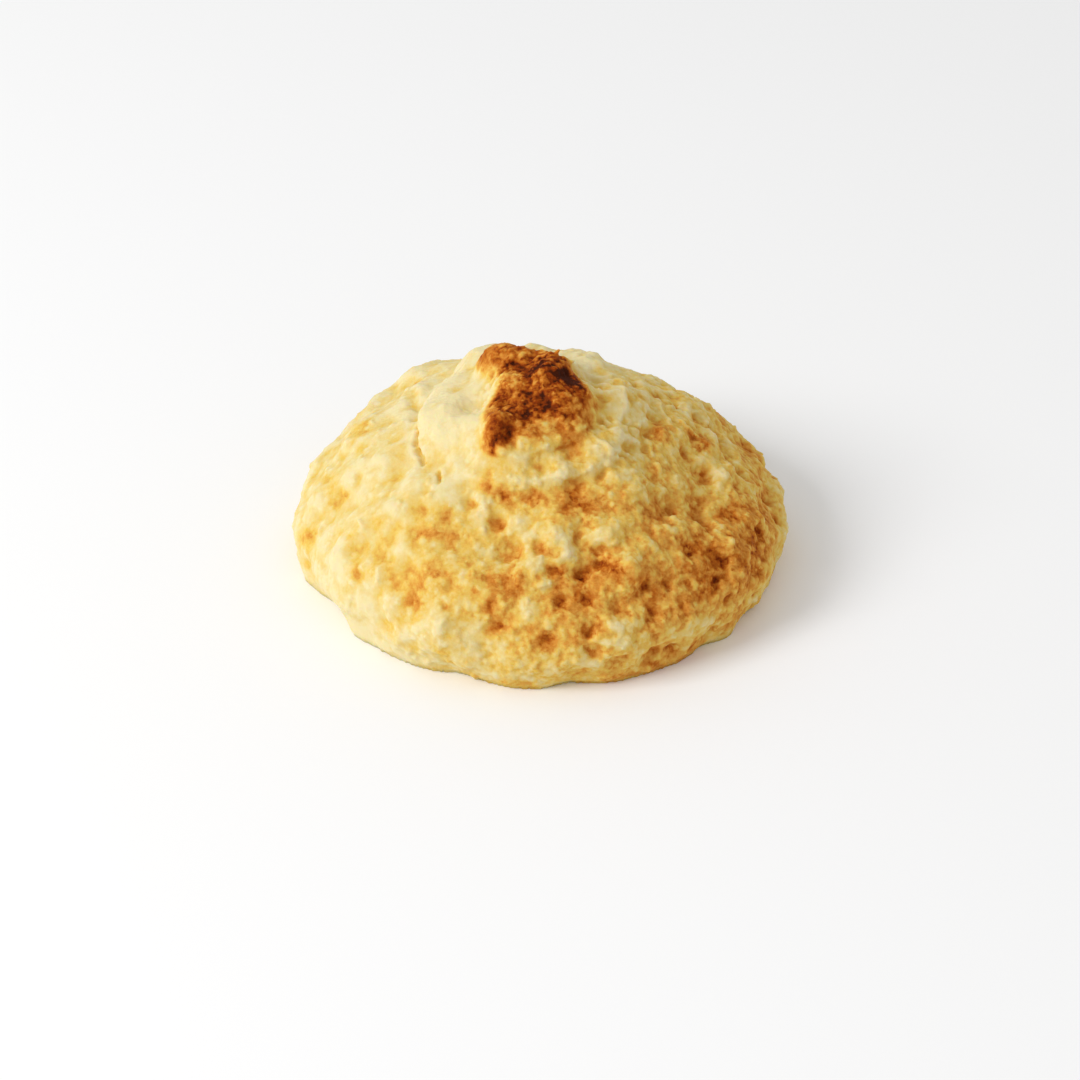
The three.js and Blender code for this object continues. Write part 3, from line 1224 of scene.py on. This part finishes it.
def thin_out(dough, faces):
    """Keeps the crust under so many triangles, and inside the frame's box."""
    finish_with(dough, "TRIANGULATE")
    ratio = faces / len(dough.data.polygons)
    if ratio < 1:
        finish_with(dough, "DECIMATE", ratio=ratio)
    if len(dough.data.polygons) > faces + FACE_SLACK:
        raise RuntimeError(f"the crust has {len(dough.data.polygons)} faces")
    move_corners(dough.data, np.clip(corners(dough.data), *FRAME_BOX))


def depth_below(mesh, rounds):
    """How far each corner lies below its smoothed surroundings."""
    ends = np.empty(len(mesh.edges) * 2, np.int32)
    mesh.edges.foreach_get("vertices", ends)
    a, b = ends[0::2], ends[1::2]
    places = corners(mesh).astype(np.float64)
    count = len(places)
    neighbours = np.bincount(a, minlength=count) + np.bincount(b, minlength=count)
    level = places.copy()
    for _ in range(rounds):
        for axis in range(3):
            line = level[:, axis]
            total = np.bincount(a, line[b], count) + np.bincount(b, line[a], count)
            level[:, axis] = 0.5 * (line + total / neighbours)
    return ((level - places) * outward(mesh)).sum(axis=1)


def nearest_tones(mesh, tree, tones):
    """The tone of the coconut at each corner, or the middle tone on bare dough."""
    found = np.full(len(mesh.vertices), MIDDLE_TONE, np.float32)
    for i, vertex in enumerate(mesh.vertices):
        face = tree.find_nearest(vertex.co, TONE_REACH)[2]
        if face is not None:
            found[i] = tones[face]
    return found


def keep_values(mesh, name, values):
    attribute = mesh.attributes.new(name, "FLOAT", "POINT")
    attribute.data.foreach_set("value", np.asarray(values, np.float32))


def browning_of(places, tree, marks):
    """How brown each place baked, before its fine detail."""
    ragged = places + drift(places, PATCH_EDGES) + drift(places, FINE_EDGES)
    pressed = places + drift(places, SPOT_EDGES)
    cracked = places + drift(places, LINE_EDGES)
    brown = PLAIN_BROWNING + shading(places, BROAD_SHADES) + shading(places, FINE_SHADES)
    for mark in marks:
        where = pressed if mark.height else ragged
        brown += mark.browning * mark_share(where, mark)
    for line, share in line_shares(cracked, tree, RIDGES + FINE_LINES):
        brown += line.browning * share
    coil = on_coil(places)
    brown += COIL.browning * coil
    side = dark_side(places, *BROWNED_SIDE)
    brown += SIDE_BROWNING * side * (1 - COIL_SPARED * coil)
    rim = 1 - smooth_step(places[:, 2] / (1 + side), *RIM_BAND)
    rim *= RIM_COVER + shading(places, RIM_SHADES)
    brown += (RIM_BROWNING + DARK_RIM_BROWNING * side) * np.clip(rim, 0, 1)
    brown = MOST_BROWNED * np.tanh(brown / MOST_BROWNED)
    peak = peak_area(places, 0.5 * (places + ragged), PEAK_SOFTNESS)
    brown += peak * (PEAK_BROWNING - 0.5 * brown)
    for area in PEAKS:
        brown += area.browning * oval_share(ragged, area, AREA_EDGE) * peak
    return brown


# ------------------------------------------------------------------ materials


def add_node(tree, kind, inputs=None, **settings):
    """A node with its settings; an input is a value or another node's output."""
    made = tree.nodes.new(kind)
    for name, value in settings.items():
        setattr(made, name, value)
    for key, value in (inputs or {}).items():
        if isinstance(value, bpy.types.NodeSocket):
            tree.links.new(value, made.inputs[key])
        else:
            made.inputs[key].default_value = value
    return made


def combine(tree, operation, *values, limited=False):
    """The output of a Math node."""
    inputs = dict(enumerate(values))
    made = add_node(
        tree, "ShaderNodeMath", inputs, operation=operation, use_clamp=limited
    )
    return made.outputs[0]


def kept_value(tree, name):
    return add_node(tree, "ShaderNodeAttribute", attribute_name=name).outputs["Fac"]


def speckle(tree, place, size, detail):
    """Noise about the middle value 0, with specks of that size."""
    made = add_node(
        tree,
        "ShaderNodeTexNoise",
        {"Vector": place, "Scale": 1 / size, "Detail": detail, "Roughness": 0.65},
    )
    return combine(tree, "SUBTRACT", made.outputs["Fac"], 0.5)


def crust_material(oven):
    """Crust from cream to burnt, by how brown each place baked, with painted shade in its
    hollows.
    """
    material = bpy.data.materials.new("baked coconut crust")
    material.use_nodes = True
    tree = material.node_tree
    shader = tree.nodes["Principled BSDF"]
    place = add_node(tree, "ShaderNodeTexCoord").outputs["Object"]

    baked = kept_value(tree, "browning")
    # The hollow and pit depths make hollows browner and lumps paler: partly baked browning,
    # partly painted shade
    hollow = combine(tree, "MULTIPLY", kept_value(tree, "hollow"), HOLLOW_PAINTED_SHADE)
    pit = combine(tree, "MULTIPLY", kept_value(tree, "pit"), PIT_PAINTED_SHADE)
    tone = combine(tree, "SUBTRACT", kept_value(tree, "tone"), MIDDLE_TONE)
    uneven = speckle(tree, place, MOTTLE_SIZE, 4)
    fine = speckle(tree, place, SPECK_SIZE, 3)

    # Mottling and specks are stronger where the crust browned more
    mottled = combine(tree, "MINIMUM", baked, 0.4)
    patchiness = combine(tree, "MULTIPLY_ADD", mottled, 1.1, 0.12)
    browned = combine(tree, "MULTIPLY_ADD", uneven, patchiness, baked)
    contrast = combine(tree, "MULTIPLY_ADD", baked, 0.30, 0.19)
    tone = combine(tree, "MULTIPLY", tone, TONE_SHADE)
    speckles = combine(tree, "ADD", fine, tone)
    browned = combine(tree, "ADD", browned, combine(tree, "MULTIPLY", speckles, contrast))
    # Painted shade in the hollows, with some baked browning
    browned = combine(tree, "ADD", browned, hollow)
    browned = combine(tree, "ADD", browned, pit, limited=True)

    ramp = add_node(tree, "ShaderNodeValToRGB", {"Fac": browned})
    stops = (
        (0.0, oven.cream),
        (0.15, oven.pale),
        (0.32, oven.golden),
        (0.50, oven.amber),
        (0.67, oven.toast),
        (0.84, oven.brown),
        (1.0, oven.burnt),
    )
    elements = ramp.color_ramp.elements
    for at, _ in stops[1:-1]:
        elements.new(at)
    for element, (at, color) in zip(elements, stops):
        element.position = at
        element.color = (*color, 1)
    tree.links.new(ramp.outputs["Color"], shader.inputs["Base Color"])

    crumb = add_node(
        tree,
        "ShaderNodeTexVoronoi",
        {"Vector": place, "Scale": 1 / CRUMB_SIZE},
        feature="F1",
    )
    grit = combine(tree, "SUBTRACT", fine, crumb.outputs["Distance"])
    bump = add_node(
        tree,
        "ShaderNodeBump",
        {"Height": grit, "Strength": 0.4, "Distance": GRIT_DEPTH},
    )
    tree.links.new(bump.outputs["Normal"], shader.inputs["Normal"])
    shader.inputs["Roughness"].default_value = 0.62
    shader.inputs["Specular IOR Level"].default_value = 0.03
    shader.inputs["Subsurface Weight"].default_value = 0.45
    shader.inputs["Subsurface Radius"].default_value = (1.0, 0.55, 0.2)
    shader.inputs["Subsurface Scale"].default_value = 1.2 * MM
    return material


def floor_material(color):
    material = bpy.data.materials.new("pale floor")
    material.use_nodes = True
    shader = material.node_tree.nodes["Principled BSDF"]
    shader.inputs["Base Color"].default_value = (*color, 1)
    shader.inputs["Roughness"].default_value = 0.9
    shader.inputs["Specular IOR Level"].default_value = 0.1
    return material


# ------------------------------------------------------------------ the operators


class MACAROON_OT_bake(bpy.types.Operator):
    """Shape the dough, strew it with coconut and bake it to one crust"""

    bl_idname = "macaroon.bake"
    bl_label = "Bake the Macaroon"
    bl_options = {"REGISTER", "UNDO"}

    def execute(self, context):
        scene = context.scene
        sizes = scene.macaroon_dough
        noise.seed_set(NOISE_SEED)
        dough = welded_dough()
        finish_with(dough, "REMESH", mode="VOXEL", voxel_size=sizes.dough_pitch)
        finish_with(dough, "SMOOTH", factor=0.5, iterations=6)
        tree = skin_tree(dough)
        marks = set_down(tree, RIGHT_SPOTS + FRONT_SPOTS + LEFT_SPOTS + COIL_SPOTS)
        marks += chance_marks(tree, marks, sizes)
        patches = set_down(tree, PATCHES)
        knead(dough, sizes)
        press_marks(dough, marks)
        press_lines(dough, RIDGES)
        press_peak(dough)
        coconut, tones = strew(dough, scene.macaroon_coconut)
        coconut_tree = skin_tree(coconut)
        fuse(dough, coconut, sizes.crust_pitch)
        press_lines(dough, FINE_LINES)
        roughen(dough, sizes)
        mesh = dough.data
        keep_values(mesh, "tone", nearest_tones(mesh, coconut_tree, tones))
        stand_in_box(dough)
        thin_out(dough, sizes.faces)
        mesh = dough.data
        # Depths of hollows and pits, which the crust's material turns partly into painted shade
        for name, rounds, full in DEPTHS:
            keep_values(mesh, name, np.clip(depth_below(mesh, rounds) / full, -1, 1))
        browning = browning_of(corners(mesh), skin_tree(dough), marks + patches)
        keep_values(mesh, "browning", browning)
        take(dough)
        bpy.ops.object.shade_smooth()
        mesh.materials.append(crust_material(scene.macaroon_oven))
        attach(dough, BODY)
        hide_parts(NODE)
        return {"FINISHED"}


class MACAROON_OT_stage(bpy.types.Operator):
    """Set the floor, the lights and the camera"""

    bl_idname = "macaroon.stage"
    bl_label = "Set the Stage"
    bl_options = {"REGISTER", "UNDO"}

    def execute(self, context):
        scene = context.scene
        studio = scene.macaroon_studio
        deselect_all()
        bpy.ops.mesh.primitive_plane_add(size=FLOOR_SIZE)
        floor = context.object
        floor.name = "floor"
        floor.data.materials.append(floor_material(studio.floor_color))

        world = bpy.data.worlds.new("soft studio")
        scene.world = world
        world.use_nodes = True
        background = world.node_tree.nodes["Background"]
        background.inputs["Color"].default_value = (1, 1, 1, 1)
        background.inputs["Strength"].default_value = studio.sky

        deselect_all()
        bpy.ops.object.light_add(type="AREA", location=KEY_PLACE)
        key = context.object
        key.name = "key light"
        key.data.energy = studio.key_power
        key.data.size = KEY_SIZE
        aim = Vector((0, 0, studio.aim_height))
        key.rotation_euler = (aim - key.location).to_track_quat("-Z", "Y").to_euler()

        tilt = studio.elevation
        back = Vector((0, -math.cos(tilt), math.sin(tilt)))
        deselect_all()
        bpy.ops.object.camera_add(
            location=aim + back * studio.distance,
            rotation=(math.pi / 2 - tilt, 0, 0),
        )
        camera = context.object
        camera.data.lens = studio.lens
        camera.data.sensor_width = SENSOR_WIDTH
        camera.data.clip_start = NEAREST_SEEN
        scene.camera = camera
        scene.view_settings.view_transform = "Standard"
        return {"FINISHED"}


class MACAROON_PT_panel(bpy.types.Panel):
    """The macaroon's pieces and their settings"""

    bl_idname = "MACAROON_PT_panel"
    bl_label = "Macaroon"
    bl_space_type = "VIEW_3D"
    bl_region_type = "UI"
    bl_category = "Macaroon"

    def draw(self, context):
        scene = context.scene
        for name, group in (
            ("Dough", scene.macaroon_dough),
            ("Coconut", scene.macaroon_coconut),
            ("Oven", scene.macaroon_oven),
            ("Studio", scene.macaroon_studio),
        ):
            box = self.layout.box()
            box.label(text=name)
            for setting in group.__annotations__:
                box.prop(group, setting)
        self.layout.operator(MACAROON_OT_bake.bl_idname)
        self.layout.operator(MACAROON_OT_stage.bl_idname)


CLASSES = (
    DoughSettings,
    CoconutSettings,
    OvenSettings,
    StudioSettings,
    MACAROON_OT_bake,
    MACAROON_OT_stage,
    MACAROON_PT_panel,
)
SETTINGS = {
    "macaroon_dough": DoughSettings,
    "macaroon_coconut": CoconutSettings,
    "macaroon_oven": OvenSettings,
    "macaroon_studio": StudioSettings,
}


def register():
    for cls in CLASSES:
        bpy.utils.register_class(cls)
    for name, group in SETTINGS.items():
        setattr(bpy.types.Scene, name, PointerProperty(type=group))


def unregister():
    for name in SETTINGS:
        delattr(bpy.types.Scene, name)
    for cls in reversed(CLASSES):
        bpy.utils.unregister_class(cls)


def main():
    register()
    bpy.ops.macaroon.bake()
    bpy.ops.macaroon.stage()


if __name__ == "__main__":
    main()
